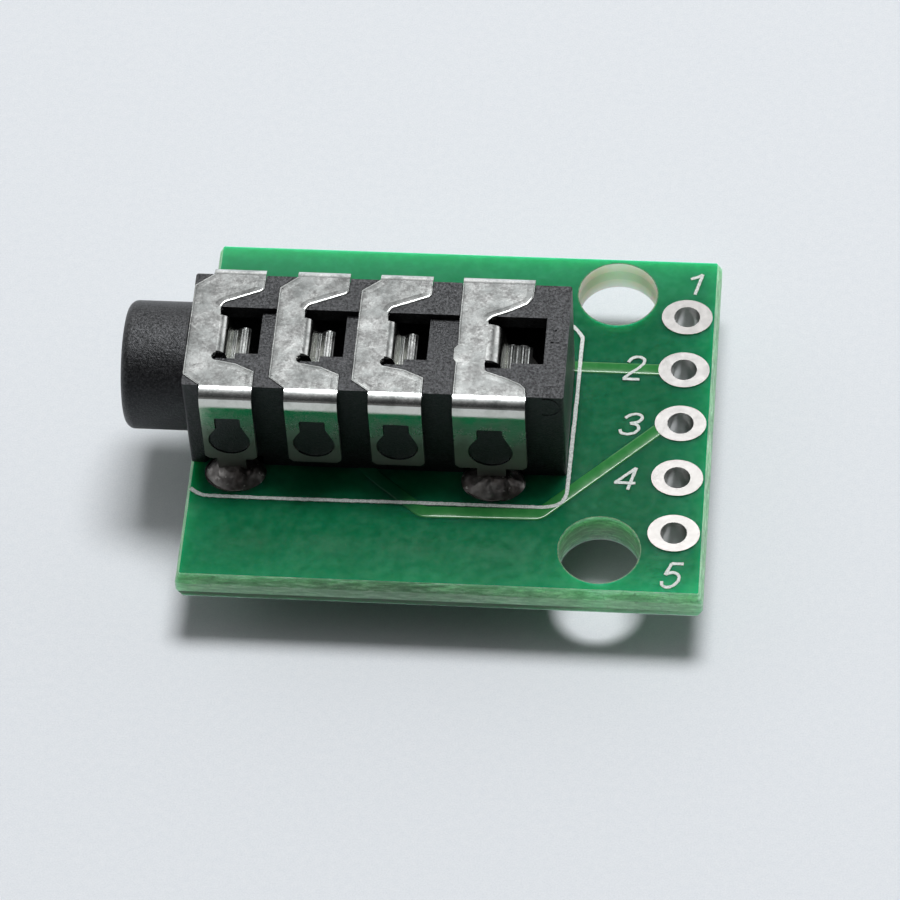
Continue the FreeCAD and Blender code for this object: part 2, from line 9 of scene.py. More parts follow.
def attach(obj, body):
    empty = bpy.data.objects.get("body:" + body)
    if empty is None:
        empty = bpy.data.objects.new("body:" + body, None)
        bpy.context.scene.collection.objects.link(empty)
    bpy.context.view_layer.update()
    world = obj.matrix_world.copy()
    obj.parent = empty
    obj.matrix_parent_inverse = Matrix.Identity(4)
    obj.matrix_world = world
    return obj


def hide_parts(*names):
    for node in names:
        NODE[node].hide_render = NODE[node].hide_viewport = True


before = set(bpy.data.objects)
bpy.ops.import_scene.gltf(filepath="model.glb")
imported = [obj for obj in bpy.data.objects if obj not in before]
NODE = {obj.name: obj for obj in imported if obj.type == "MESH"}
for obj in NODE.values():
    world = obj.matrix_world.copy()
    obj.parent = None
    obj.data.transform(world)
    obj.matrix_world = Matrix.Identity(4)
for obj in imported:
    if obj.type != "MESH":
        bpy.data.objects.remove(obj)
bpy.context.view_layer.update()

# Working coordinates in millimetres: x from the header row, y from the jack's
# axis, z from the board's top face. The row frame is the same, shifted.
STAND, BOARD_T = 1.60, 1.40
DX, DY, DZ = 9.65, -0.04, BOARD_T + STAND


def P(x, y, z):
    return Vector(((x + DX) / 1000.0, (y + DY) / 1000.0, (z + DZ) / 1000.0))


MM = 0.001
scene = bpy.context.scene
scene.view_settings.view_transform = "Standard"
scene.view_settings.look = "None"
scene.view_settings.exposure = 0.0
scene.view_settings.gamma = 1.0


# ------------------------------------------------------------------ materials
class Mat:
    """A small helper round one node-based material."""

    def __init__(self, name):
        self.m = bpy.data.materials.new(name)
        self.m.use_nodes = True
        self.t = self.m.node_tree
        self.b = self.t.nodes["Principled BSDF"]
        self.coord = self.node("ShaderNodeTexCoord")

    def node(self, kind, **props):
        n = self.t.nodes.new(kind)
        for k, v in props.items():
            setattr(n, k, v)
        return n

    def link(self, a, b):
        self.t.links.new(a, b)

    def set(self, **values):
        for k, v in values.items():
            self.b.inputs[k.replace("_", " ")].default_value = v

    def mapped(self, scale=(1, 1, 1), rot=(0, 0, 0), loc=(0, 0, 0)):
        """Object coordinates in millimetres, scaled."""
        n = self.node("ShaderNodeMapping")
        n.inputs["Scale"].default_value = [1000.0 * s for s in scale]
        n.inputs["Rotation"].default_value = rot
        n.inputs["Location"].default_value = loc
        self.link(self.coord.outputs["Object"], n.inputs["Vector"])
        return n.outputs["Vector"]

    def noise(self, scale=1.0, detail=2.0, rough=0.5, vec=None, distortion=0.0):
        n = self.node("ShaderNodeTexNoise")
        n.inputs["Scale"].default_value = scale
        n.inputs["Detail"].default_value = detail
        n.inputs["Roughness"].default_value = rough
        n.inputs["Distortion"].default_value = distortion
        self.link(vec if vec is not None else self.mapped(), n.inputs["Vector"])
        return n.outputs["Fac"]

    def ramp(self, fac, stops):
        n = self.node("ShaderNodeValToRGB")
        el = n.color_ramp.elements
        while len(el) < len(stops):
            el.new(0.5)
        for e, (p, c) in zip(el, stops):
            e.position = p
            e.color = c if len(c) == 4 else (*c, 1.0)
        self.link(fac, n.inputs["Fac"])
        return n.outputs["Color"]

    def math(self, op, a, b=None, clamp=False):
        n = self.node("ShaderNodeMath", operation=op, use_clamp=clamp)
        for i, v in enumerate((a, b)):
            if v is None:
                continue
            if isinstance(v, (int, float)):
                n.inputs[i].default_value = v
            else:
                self.link(v, n.inputs[i])
        return n.outputs["Value"]

    def mix(self, fac, a, b, blend="MIX"):
        n = self.node("ShaderNodeMix", data_type="RGBA", blend_type=blend)
        for i, v in ((0, fac), (6, a), (7, b)):
            if isinstance(v, (int, float)):
                n.inputs[i].default_value = v
            elif isinstance(v, tuple):
                n.inputs[i].default_value = v if len(v) == 4 else (*v, 1.0)
            else:
                self.link(v, n.inputs[i])
        return n.outputs[2]

    def rng(self, v, a, b, c, d):
        n = self.node("ShaderNodeMapRange")
        for i, x in enumerate((v, a, b, c, d)):
            if isinstance(x, (int, float)):
                n.inputs[i].default_value = x
            else:
                self.link(x, n.inputs[i])
        return n.outputs["Result"]

    def bump(self, height, strength=0.3, dist=0.02, normal=None):
        n = self.node("ShaderNodeBump")
        n.inputs["Strength"].default_value = strength
        n.inputs["Distance"].default_value = dist * MM
        self.link(height, n.inputs["Height"])
        if normal is not None:
            self.link(normal, n.inputs["Normal"])
        return n.outputs["Normal"]

    def out(self, **links):
        for k, v in links.items():
            self.link(v, self.b.inputs[k.replace("_", " ")])
        return self.m


def housing_material():
    m = Mat("moulded_black")
    speck = m.noise(13.0, 3.0, 0.7)
    grain = m.noise(28.0, 2.0, 0.6)
    cloud = m.noise(1.1, 3.0, 0.55)
    base = m.ramp(speck, [(0.40, (0.001, 0.001, 0.0015)), (0.52, (0.0032, 0.0032, 0.0037)), (0.63, (0.015, 0.0145, 0.0165))])
    base = m.mix(m.rng(cloud, 0.35, 0.7, 0.0, 0.35), base, (0.004, 0.0037, 0.0045))
    m.set(IOR=1.55)
    m.b.inputs["Specular Tint"].default_value = (0.93, 0.96, 1.0, 1.0)
    rough = m.rng(speck, 0.38, 0.64, 0.34, 0.39)
    h = m.math("ADD", m.math("MULTIPLY", speck, 0.65), m.math("MULTIPLY", grain, 0.35))
    # the grain shows on the upper faces; the upright ones are smoother
    geo = m.node("ShaderNodeNewGeometry")
    sep = m.node("ShaderNodeSeparateXYZ")
    m.link(geo.outputs["Normal"], sep.inputs["Vector"])
    upper = m.rng(sep.outputs["Z"], 0.45, 0.95, 0.22, 1.0)
    shine = m.math("MULTIPLY", m.rng(speck, 0.36, 0.64, -0.36, 0.36), upper)
    shine = m.math("ADD", shine, m.rng(upper, 0.22, 1.0, 0.43, 0.56))
    return m.out(Base_Color=base, Roughness=rough, Normal=m.bump(h, 0.8, 0.052), Specular_IOR_Level=shine)


def sheet_material(name="tinned_spring_sheet", gain=1.0, dull=0.0):
    m = Mat(name)
    smudge = m.noise(1.2, 2.0, 0.5)
    patch = m.noise(2.3, 3.0, 0.6)
    fine = m.noise(9.0, 3.0, 0.65)
    fleck = m.noise(17.0, 2.0, 0.6)
    s = m.math("ADD", m.math("MULTIPLY", smudge, 0.45), m.math("MULTIPLY", patch, 0.55))
    tones = [(0.40, (0.46, 0.485, 0.48)), (0.48, (0.68, 0.71, 0.70)), (0.58, (0.94, 0.96, 0.95))]
    base = m.ramp(s, [(p, tuple(c * gain for c in t)) for p, t in tones])
    base = m.mix(m.rng(fine, 0.50, 0.68, 0.0, 0.6), base, tuple(c * gain for c in (0.98, 0.99, 0.98)))
    base = m.mix(m.rng(fleck, 0.50, 0.36, 0.0, 0.45), base, tuple(c * gain for c in (0.50, 0.52, 0.51)))
    # the upright faces get a duller colour: partly a coat of flux, partly painted shade for their dimmer reflections
    geo = m.node("ShaderNodeNewGeometry")
    sep = m.node("ShaderNodeSeparateXYZ")
    m.link(geo.outputs["Normal"], sep.inputs["Vector"])
    side = m.rng(m.math("ABSOLUTE", sep.outputs["Z"]), 0.30, 0.70, 1.0, 0.0)
    base = m.mix(m.math("MULTIPLY", side, 0.78), base, (0.58, 0.585, 0.525))
    # and darker still towards the soldered end: partly a dull flux deposit, partly painted shade standing in for the
    # dark reflection of the shaded board in front
    place = m.node("ShaderNodeSeparateXYZ")
    m.link(m.mapped(), place.inputs["Vector"])
    wave = m.math("ADD", place.outputs["Z"], m.math("MULTIPLY", m.math("SUBTRACT", smudge, 0.5), 1.5))
    flux_and_painted_shade = m.math("MULTIPLY", side, m.rng(wave, 6.95, 5.05, 0.0, 1.0))
    tail = m.rng(place.outputs["Z"], 4.3, 3.6, 0.0, 0.55)
    flux_and_shade_tone = m.mix(tail, (0.205, 0.198, 0.18), (0.10, 0.095, 0.088))
    base = m.mix(flux_and_painted_shade, base, flux_and_shade_tone)
    metal = m.math("SUBTRACT", 1.0, m.math("MULTIPLY", flux_and_painted_shade, 0.32))
    rough = m.rng(m.math("ADD", m.math("MULTIPLY", patch, 0.6), m.math("MULTIPLY", fine, 0.4)), 0.40, 0.60, 0.264 + dull, 0.176 + dull)
    rough = m.math("SUBTRACT", rough, m.math("MULTIPLY", side, 0.06))
    rough = m.math("ADD", rough, m.math("MULTIPLY", flux_and_painted_shade, 0.20))
    h = m.math("ADD", m.math("MULTIPLY", s, 0.85), m.math("MULTIPLY", fine, 0.12))
    return m.out(Base_Color=base, Roughness=rough, Metallic=metal, Normal=m.bump(h, 0.22, 0.03))


def mask_material(name, base_a, base_b, rough=0.14, cut=True):
    """Green coating on the flats; bare glass-fibre laminate on the cut faces."""
    m = Mat(name)
    weave = m.noise(3.2, 3.0, 0.55)
    blotch = m.noise(0.55, 2.0, 0.5)
    base = m.mix(m.rng(weave, 0.35, 0.7, 0.0, 1.0), base_a, base_b)
    base = m.mix(m.rng(blotch, 0.4, 0.7, 0.0, 0.3), base, tuple(c * 0.8 for c in base_a))
    # painted light: the coating's colour is made paler near the board's cut edges, most at the back edge and the
    # front-right, standing in for light the laminate carries in from its edges
    pos = m.node("ShaderNodeSeparateXYZ")
    m.link(m.mapped(), pos.inputs["Vector"])
    px, py, pz = pos.outputs["X"], pos.outputs["Y"], pos.outputs["Z"]
    painted_edge_light = None
    for d, amount, reach in ((m.math("SUBTRACT", 7.77, py), 1.24, 3.2), (m.math("SUBTRACT", 10.68, px), 0.55, 2.2),
                             (m.math("SUBTRACT", py, -7.77), m.rng(px, 4.0, 10.0, 0.42, 1.45), 2.4), (m.math("SUBTRACT", px, -8.32), 0.45, 2.2)):
        g = m.math("MULTIPLY", m.math("POWER", m.rng(d, 0.0, reach, 1.0, 0.0), 1.6, True), amount)
        painted_edge_light = g if painted_edge_light is None else m.math("MAXIMUM", painted_edge_light, g)
    gain = m.math("ADD", painted_edge_light, 0.80)
    scaled = m.node("ShaderNodeVectorMath", operation="SCALE")
    m.link(base, scaled.inputs[0])
    m.link(gain, scaled.inputs["Scale"])
    base = scaled.outputs["Vector"]
    # painted light: a paler, less deep green towards the back edge, more at the left, standing in for light from the
    # bright floor spread over it
    back_haze_paint = m.math("MULTIPLY", m.rng(py, 4.6, 7.7, 0.0, 1.0), m.rng(px, -8.0, 10.0, 0.085, 0.035))
    base = m.mix(back_haze_paint, base, (0.62, 0.66, 0.64))
    m.set(IOR=1.5)
    r = m.rng(weave, 0.3, 0.7, rough - 0.03, rough + 0.05)
    if cut:
        geo = m.node("ShaderNodeNewGeometry")
        sep = m.node("ShaderNodeSeparateXYZ")
        m.link(geo.outputs["Normal"], sep.inputs["Vector"])
        flat = m.math("GREATER_THAN", m.math("ABSOLUTE", sep.outputs["Z"]), 0.7)
        fib = m.noise(1.0, 4.0, 0.65, vec=m.mapped(scale=(1.6, 1.6, 9.0)))
        fleck = m.noise(7.0, 3.0, 0.6)
        lam = m.ramp(fib, [(0.32, (0.085, 0.18, 0.10)), (0.50, (0.16, 0.30, 0.18)), (0.66, (0.34, 0.49, 0.35))])
        # painted light: the cut faces are made brighter and paler towards the board's right and left ends
        cut_face_ends_light = m.node("ShaderNodeVectorMath", operation="SCALE")
        m.link(lam, cut_face_ends_light.inputs[0])
        m.link(m.math("MULTIPLY", m.rng(px, 0.0, 9.0, 1.0, 1.85), m.rng(px, -1.0, -8.0, 1.0, 1.35)), cut_face_ends_light.inputs["Scale"])
        lam = m.mix(m.rng(px, 0.0, 9.0, 0.0, 0.30), cut_face_ends_light.outputs["Vector"], (0.38, 0.74, 0.46))
        lam = m.mix(m.rng(px, -1.0, -8.0, 0.0, 0.25), lam, (0.26, 0.60, 0.32))
        lam = m.mix(m.rng(fleck, 0.55, 0.75, 0.0, 0.5), lam, (0.08, 0.15, 0.08))
        # painted light: the wall of the far screw hole is made pale, standing in for light shining through it; the back
        # edge is only a little paler
        far_hole_painted_light = m.math("LESS_THAN", m.math("ABSOLUTE", m.math("SUBTRACT", px, 6.97)), 1.75)
        far_hole_painted_light = m.math("MULTIPLY", far_hole_painted_light, m.math("LESS_THAN", py, 7.60))
        lam = m.mix(m.math("MULTIPLY", far_hole_painted_light, m.rng(py, 3.0, 7.0, 0.0, 0.94)), lam, (0.93, 0.70, 0.70))
        # the torn web is paler than the scored slopes
        web = m.math("MULTIPLY", m.math("GREATER_THAN", pz, 2.08), m.math("LESS_THAN", pz, 2.55))
        lam = m.mix(m.math("MULTIPLY", web, 0.30), lam, (0.42, 0.54, 0.44))
        # painted shade: the slope below the web is darkened, less so towards the right, as it lies in the board's own
        # shade
        web_slope_painted_shade = m.math("MULTIPLY", m.rng(sep.outputs["Z"], -0.28, -0.04, 0.95, 0.0), m.rng(px, 4.0, 9.5, 1.0, 0.35))
        lam = m.mix(web_slope_painted_shade, lam, (0.05, 0.09, 0.055))
        base = m.mix(flat, lam, base)
        r = m.math("ADD", m.math("MULTIPLY", flat, r), m.math("MULTIPLY", m.math("SUBTRACT", 1.0, flat), 0.6))
    m.b.inputs["Subsurface Weight"].default_value = 1.0
    m.b.inputs["Subsurface Radius"].default_value = (0.6, 1.6, 0.9)
    m.b.inputs["Subsurface Scale"].default_value = 0.0012
    return m.out(Base_Color=base, Roughness=r, Normal=m.bump(weave, 0.06, 0.03))


def pad_material():
    m = Mat("tinned_pad")
    n = m.noise(2.6, 3.0, 0.6)
    fine = m.noise(12.0, 2.0, 0.6)
    base = m.ramp(n, [(0.3, (0.60, 0.59, 0.575)), (0.7, (0.75, 0.735, 0.72))])
    sep = m.node("ShaderNodeSeparateXYZ")
    m.link(m.mapped(), sep.inputs["Vector"])
    base = m.mix(m.rng(sep.outputs["Y"], 1.0, -6.0, 0.0, 0.55), base, (0.47, 0.45, 0.43))
    m.set(Metallic=1.0)
    return m.out(Base_Color=base, Roughness=m.rng(fine, 0.3, 0.7, 0.245, 0.265), Normal=m.bump(n, 0.05, 0.03))


def solder_material():
    m = Mat("dull_solder")
    n = m.noise(1.7, 2.0, 0.5)
    fine = m.noise(12.0, 3.0, 0.65)
    base = m.ramp(n, [(0.38, (0.13, 0.116, 0.110)), (0.50, (0.24, 0.225, 0.22)), (0.62, (0.46, 0.44, 0.43))])
    spots = m.rng(m.noise(3.6, 2.0, 0.6), 0.62, 0.68, 0.0, 0.8)
    base = m.mix(spots, base, (0.72, 0.70, 0.68))
    m.set(Metallic=0.9)
    h = m.math("ADD", m.math("MULTIPLY", n, 0.4), m.math("MULTIPLY", fine, 0.25))
    return m.out(Base_Color=base, Roughness=m.rng(fine, 0.3, 0.7, 0.34, 0.46), Normal=m.bump(h, 0.5, 0.07))


def legend_material():
    m = Mat("legend_ink")
    n = m.noise(16.0, 3.0, 0.7)
    base = m.ramp(n, [(0.35, (0.42, 0.48, 0.45)), (0.6, (0.72, 0.76, 0.74))])
    return m.out(Base_Color=base, Roughness=m.rng(n, 0.3, 0.7, 0.45, 0.6))


M_HOUSING = housing_material()
M_SHEET = sheet_material()
M_SHEARED = sheet_material("tinned_sheet_edge", 0.86, 0.0)
M_MASK = mask_material("green_coating", (0.003, 0.174, 0.068), (0.005, 0.204, 0.082))
M_TRACK = mask_material("green_coating_over_copper", (0.035, 0.25, 0.060), (0.050, 0.29, 0.075), cut=False)
M_TRACK.node_tree.nodes["Principled BSDF"].inputs["Subsurface Weight"].default_value = 0.0
# painted shade: the tracks' colour is darkened to the board's shaded green from x = -9.25 mm leftwards, fully by -10.25
# mm, where they run in the jack's shadow
_t = M_TRACK.node_tree
_in = _t.nodes["Principled BSDF"].inputs["Base Color"]
_old = _in.links[0].from_socket
_co = _t.nodes.new("ShaderNodeTexCoord")
_sp = _t.nodes.new("ShaderNodeSeparateXYZ")
_t.links.new(_co.outputs["Object"], _sp.inputs["Vector"])
_track_shade_ramp = _t.nodes.new("ShaderNodeMapRange")
for _i, _v in ((1, 0.0004), (2, -0.0006), (3, 0.0), (4, 1.0)):
    _track_shade_ramp.inputs[_i].default_value = _v
_t.links.new(_sp.outputs["X"], _track_shade_ramp.inputs[0])
_track_shade_mix = _t.nodes.new("ShaderNodeMix")
_track_shade_mix.data_type = "RGBA"
_t.links.new(_track_shade_ramp.outputs["Result"], _track_shade_mix.inputs[0])
_t.links.new(_old, _track_shade_mix.inputs[6])
_track_shade_mix.inputs[7].default_value = (0.003, 0.100, 0.040, 1.0)
_t.links.new(_track_shade_mix.outputs[2], _in)
M_PAD = pad_material()
M_SOLDER = solder_material()
M_LEGEND = legend_material()


def paint(obj, mat):
    obj.data.materials.clear()
    obj.data.materials.append(mat)


def bevel(obj, width, segments=2, angle=35):
    b = obj.modifiers.new("edge", "BEVEL")
    b.width = width * MM
    b.segments = segments
    b.limit_method = "ANGLE"
    b.angle_limit = math.radians(angle)
    b.use_clamp_overlap = True
    b.harden_normals = False
    return b


# ------------------------------------------------------------ the CAD's nodes
for name, o in NODE.items():
    if name == "jack_housing":
        paint(o, M_HOUSING)
    elif name.startswith("contact_"):
        paint(o, M_SHEET)
    elif name.startswith("track_"):
        paint(o, M_TRACK)
    elif name == "pcb_board":
        paint(o, M_MASK)
    elif name.startswith("solder_"):
        paint(o, M_SOLDER)
    else:
        paint(o, M_PAD)


# ----------------------------------------------------- pieces of the visual's own
def rounded(points, r, steps=6):
    """A polyline with its inner corners rounded."""
    out = [Vector((*points[0], 0))]
    for i in range(1, len(points) - 1):
        p = Vector((*points[i], 0))
        a = Vector((*points[i - 1], 0)) - p
        b = Vector((*points[i + 1], 0)) - p
        k = min(r, a.length * 0.45, b.length * 0.45)
        s, e = p + a.normalized() * k, p + b.normalized() * k
        for j in range(steps + 1):
            w = j / steps
            out.append(s * (1 - w) ** 2 + p * 2 * w * (1 - w) + e * w * w)
    out.append(Vector((*points[-1], 0)))
    return out


def resample(path, step):
    out = [path[0]]
    for a, b in zip(path[:-1], path[1:]):
        n = max(1, int((b - a).length / step))
        out += [a.lerp(b, (j + 1) / n) for j in range(n)]
    clean = [out[0]]
    for p in out[1:]:
        if (p - clean[-1]).length > 1e-4:
            clean.append(p)
    return clean


def sweep(bm, path, section, wobble=0.0, seed=0.0):
    """Carry a section, (offset, height) pairs in order, along a path on the board."""
    n = len(path)
    rings = []
    for i, p in enumerate(path):
        t0 = (p - path[max(i - 1, 0)]) if i else (path[1] - p)
        t1 = (path[min(i + 1, n - 1)] - p) if i < n - 1 else (p - path[i - 1])
        t = (t0.normalized() + t1.normalized()).normalized()
        nrm = Vector((-t.y, t.x, 0))
        mitre = min(1.6, 1.0 / max(0.3, t.dot(t1.normalized())))
        ring = []
        for off, h in section:
            g = 1.0
            if wobble:
                side = 7.0 if off > 0 else -7.0
                g += wobble * noise.noise(Vector((p.x * 9.0 + seed, p.y * 9.0 + side, 0.0)))
            q = p + nrm * off * mitre * g
            ring.append(bm.verts.new(P(q.x, q.y, h)))
        rings.append(ring)
    m = len(section)
    for a, b in zip(rings[:-1], rings[1:]):
        for j in range(m):
            k = (j + 1) % m
            bm.faces.new((a[j], b[j], b[k], a[k]))
    bm.faces.new(list(reversed(rings[0])))
    bm.faces.new(rings[-1])


def piece(name, bm, mat, smooth=None):
    bmesh.ops.recalc_face_normals(bm, faces=bm.faces)
    me = bpy.data.meshes.new(name)
    bm.to_mesh(me)
    bm.free()
    o = bpy.data.objects.new(name, me)
    scene.collection.objects.link(o)
    me.materials.append(mat)
    if smooth is not None:
        for p in me.polygons:
            p.use_smooth = True
        me.set_sharp_from_angle(angle=math.radians(smooth))
    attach(o, "root")
    return o


def strip_section(w, z0, z1):
    return [(-w / 2, z0), (-w / 2, z1), (w / 2, z1), (w / 2, z0)]


# the printed outline round the jack, open at the board's left edge
OUTLINE = [
    (-17.96, -3.86), (-17.74, -4.04), (-17.46, -4.17), (-15.0, -4.19), (-9.4, -4.14), (-4.80, -4.13), (-4.25, -3.98),
    (-4.02, -3.55), (-3.98, -1.5), (-3.92, 1.5), (-3.90, 3.59), (-3.88, 3.93), (-4.09, 4.25),
    (-4.40, 4.55), (-4.80, 4.66), (-9.4, 4.67), (-17.46, 4.69), (-17.74, 4.56), (-17.96, 4.38),
]
bm = bmesh.new()
sweep(bm, resample(rounded(OUTLINE, 0.60), 0.10), strip_section(0.140, 0.0, 0.036), 0.30, 3.0)
piece("legend_outline", bm, M_LEGEND)

DIGITS = {
    1: [[(0.10, 0.76), (0.28, 0.86), (0.40, 0.99)], [(0.40, 1.0), (0.40, 0.0)]],
    2: [[(0.03, 0.74), (0.08, 0.90), (0.22, 0.99), (0.38, 0.98), (0.52, 0.88), (0.53, 0.70), (0.42, 0.50), (0.22, 0.28),
         (0.05, 0.02)], [(0.03, 0.0), (0.56, 0.0)]],
    3: [[(0.04, 0.78), (0.12, 0.93), (0.28, 1.0), (0.44, 0.94), (0.50, 0.78), (0.42, 0.60), (0.22, 0.53)],
        [(0.24, 0.54), (0.44, 0.47), (0.53, 0.29), (0.46, 0.09), (0.27, 0.0), (0.09, 0.06), (0.02, 0.23)]],
    4: [[(0.44, 0.0), (0.44, 1.0)], [(0.44, 0.98), (0.03, 0.31)], [(0.0, 0.30), (0.58, 0.30)]],
    5: [[(0.52, 1.0), (0.14, 1.0)], [(0.15, 0.99), (0.06, 0.52)],
        [(0.07, 0.53), (0.22, 0.64), (0.38, 0.62), (0.52, 0.48), (0.52, 0.25), (0.40, 0.06), (0.22, 0.0), (0.06, 0.08),
         (0.01, 0.25)]],
}
DIGIT_BOX = {
    1: (-0.01, 0.55, 6.16, 7.27), 2: (-2.33, -1.43, 1.96, 3.16), 3: (-2.30, -1.37, -0.65, 0.45),
    4: (-2.37, -1.47, -3.21, -2.07), 5: (-0.39, 0.49, -7.58, -6.38),
}
INK = 0.115
for d, strokes in DIGITS.items():
    lean = [[(x + 0.20 * y, y) for x, y in st] for st in strokes]
    us = [x for st in lean for x, y in st]
    u0, u1 = min(us), max(us)
    bx0, bx1, by0, by1 = DIGIT_BOX[d]
    bx0, bx1, by0, by1 = bx0 + INK / 2, bx1 - INK / 2, by0 + INK / 2, by1 - INK / 2
    bm = bmesh.new()
    for k, st in enumerate(lean):
        path = [(bx0 + (x - u0) / (u1 - u0) * (bx1 - bx0), by0 + y * (by1 - by0)) for x, y in st]
        sweep(bm, resample(rounded(path, 0.12, 5), 0.05), strip_section(INK, 0.0, 0.036 + 0.002 * k if d == 2 else 0.020 + 0.002 * k),
              0.30, d * 5.0 + k)
    piece("legend_%d" % d, bm, M_LEGEND)

# the two tracks seen on top: coated copper with soft shoulders
CROWN = [(-0.26, -0.004), (-0.26, 0.0), (-0.235, 0.018), (-0.19, 0.0265), (0.0, 0.029), (0.19, 0.0265), (0.235, 0.018),
         (0.26, 0.0), (0.26, -0.004)]
TRACKS = {
    2: [(-0.93, 2.53), (-9.2, 2.53), (-10.0, 2.80)],
    3: [(-0.82, -0.30), (-4.98, -4.44), (-9.30, -4.52), (-11.0, -3.10), (-12.4, -1.75), (-14.9, -1.60), (-15.72, -2.22)],
}
for n, pts in TRACKS.items():
    bm = bmesh.new()
    sweep(bm, resample(rounded(pts, 0.18), 0.30), CROWN)
    o = piece("track_%d_crowned" % n, bm, M_TRACK, smooth=50)
    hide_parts("track_%d" % n)


# lumpy heaps of solder over the four clip joints
def heap(name, x, y, a, b, high, seed, cap=None):
    bm = bmesh.new()
    rings, around = 26, 84
    grid = []
    for i in range(rings + 1):
        r = i / rings
        row = []
        for j in range(around):
            t = 2 * math.pi * j / around
            edge = 1.0 + 0.07 * noise.noise(Vector((math.cos(t) * 1.6 + seed, math.sin(t) * 1.6, seed)))
            u, v = r * math.cos(t) * a * edge, r * math.sin(t) * b * edge
            q = Vector((u * 2.0 + seed * 3.1, v * 2.0, seed))
            f = Vector((u * 7.0 + seed, v * 7.0 + 5.0, seed * 2.0))
            lump = 1.0 + 0.36 * noise.noise(q) + 0.08 * noise.noise(f)
            prof = (1.0 - r ** 2.4) ** 0.8
            z = high * prof * lump
            if cap is not None:
                z = min(z, cap)
            row.append(bm.verts.new(P(x + u, y + v, max(0.0, z))))
            if i == 0:
                break
        grid.append(row)
    for j in range(around):
        k = (j + 1) % around
        bm.faces.new((grid[0][0], grid[1][j], grid[1][k]))
        for i in range(1, rings):
            bm.faces.new((grid[i][j], grid[i + 1][j], grid[i + 1][k], grid[i][k]))
    bm.faces.new([v for v in grid[rings]])
    piece(name, bm, M_SOLDER, smooth=60)


heap("solder_heap_1", -16.36, -3.02, 1.12, 0.88, 0.50, 1.7)
heap("solder_heap_2", -6.76, -3.02, 1.20, 0.88, 0.50, 4.3)
heap("solder_heap_3", -13.31, 3.04, 1.12, 0.88, 0.50, 7.9)
heap("solder_heap_4", -10.23, 3.04, 1.12, 0.88, 0.50, 9.2)


# rolled-over edges of the sheared top plates, and the leaves' pressed ribs
CLIP_TOP = 4.66
FLAT_END = 2.62
BEAD = [(0.0, CLIP_TOP - 0.10), (0.0, CLIP_TOP - 0.038), (0.005, CLIP_TOP - 0.023), (0.016, CLIP_TOP - 0.009),
        (0.032, CLIP_TOP + 0.001), (0.052, CLIP_TOP + 0.0058), (0.08, CLIP_TOP + 0.007), (0.27, CLIP_TOP + 0.001),
        (0.27, CLIP_TOP - 0.10)]
CLIPS = [("contact_sleeve", -17.40, -15.47, 0.66), ("contact_ring_2", -14.28, -12.34, 0.62),
         ("contact_ring_1", -11.20, -9.26, 0.66), ("contact_tip", -8.13, -5.48, 0.0)]
for name, x0, x1, b in CLIPS:
    if b:
        e = x0 + 0.43
        edges = [
            [(x0, FLAT_END), (x0 - b, 2.08), (x0 - b, -2.13), (x0, -FLAT_END)],
            [(x1, -FLAT_END), (x1, -1.90), (x0 + 1.22, -1.56), (e + 0.14, -1.45)],
            [(e - 0.01, 1.08), (e + 0.10, 1.29), (x1 - 0.07, 1.88), (x1, 2.00), (x1, FLAT_END)],
        ]
        ribs = [(0.58, 3.755), (0.78, 3.862), (0.97, 3.862)]
    else:
        e = -7.06
        edges = [
            [(x0, FLAT_END), (x0, 0.62), (x0 + 0.03, -0.26)],
            [(x0, -1.14), (x0, -FLAT_END)],
            [(x1, -FLAT_END), (x1 - 0.05, -2.22), (x1 - 0.24, -2.02), (e + 0.80, -1.76), (e + 0.04, -1.49)],
            [(e - 0.03, 0.86), (e + 0.12, 1.04), (e + 0.75, 1.33), (x1 - 0.20, 1.71), (x1 - 0.02, 2.02), (x1, FLAT_END)],
        ]
        ribs = [(0.83, 3.488), (1.04, 3.405), (1.25, 3.460), (1.46, 3.385)]
    bm = bmesh.new()
    for path in edges:
        sweep(bm, resample(rounded(path, 0.08, 5), 0.20), BEAD)
    piece(name + "_rolled_edge", bm, M_SHEARED, smooth=50)
    bm = bmesh.new()
    for u, z in ribs:
        rib = [(-0.085, z - 0.04), (-0.085, z), (-0.064, z + 0.024), (-0.034, z + 0.040), (0.0, z + 0.045),
               (0.034, z + 0.040), (0.064, z + 0.024), (0.085, z), (0.085, z - 0.04)]
        sweep(bm, [Vector((e + u, -0.90, 0)), Vector((e + u, -0.12, 0)), Vector((e + u, 0.66, 0))], rib)
    piece(name + "_ribs", bm, M_SHEET, smooth=80)


# worn lip of the coating round the two screw holes
def ring_piece(name, x, y, r0, r1, z):
    bm = bmesh.new()
    n = 96
    loops = []
    for r, h in ((r0, 0.0), (r0, z * 0.6), ((r0 + r1) / 2, z), (r1, 0.0)):
        loops.append([bm.verts.new(P(x + r * math.cos(2 * math.pi * j / n), y + r * math.sin(2 * math.pi * j / n), h))
                      for j in range(n)])
    for i in range(4):
        for j in range(n):
            a, b = loops[i], loops[(i + 1) % 4]
            bm.faces.new((a[j], a[(j + 1) % n], b[(j + 1) % n], b[j]))
    piece(name, bm, M_LIP, smooth=60)


def lip_material():
    m = Mat("bared_laminate")
    n = m.noise(6.0, 3.0, 0.6)
    base = m.ramp(n, [(0.40, (0.02, 0.14, 0.06)), (0.60, (0.16, 0.28, 0.14))])
    return m.out(Base_Color=base, Roughness=m.rng(n, 0.3, 0.7, 0.35, 0.6))


M_LIP = lip_material()
ring_piece("hole_lip_near", -2.68, 0.09 - 6.03, 1.495, 1.535, 0.008)
ring_piece("hole_lip_far", -2.68, 0.09 + 6.03, 1.495, 1.535, 0.008)

# sheared sheet edges and moulded edges are never quite sharp
for name, o in NODE.items():
    if name.startswith("contact_"):
        bevel(o, 0.048, 4, 40)
    elif name == "jack_housing":
        bevel(o, 0.030, 2, 40)
    elif name.startswith(("header_pad_", "pin_pad_")):
        bevel(o, 0.022, 2, 40)

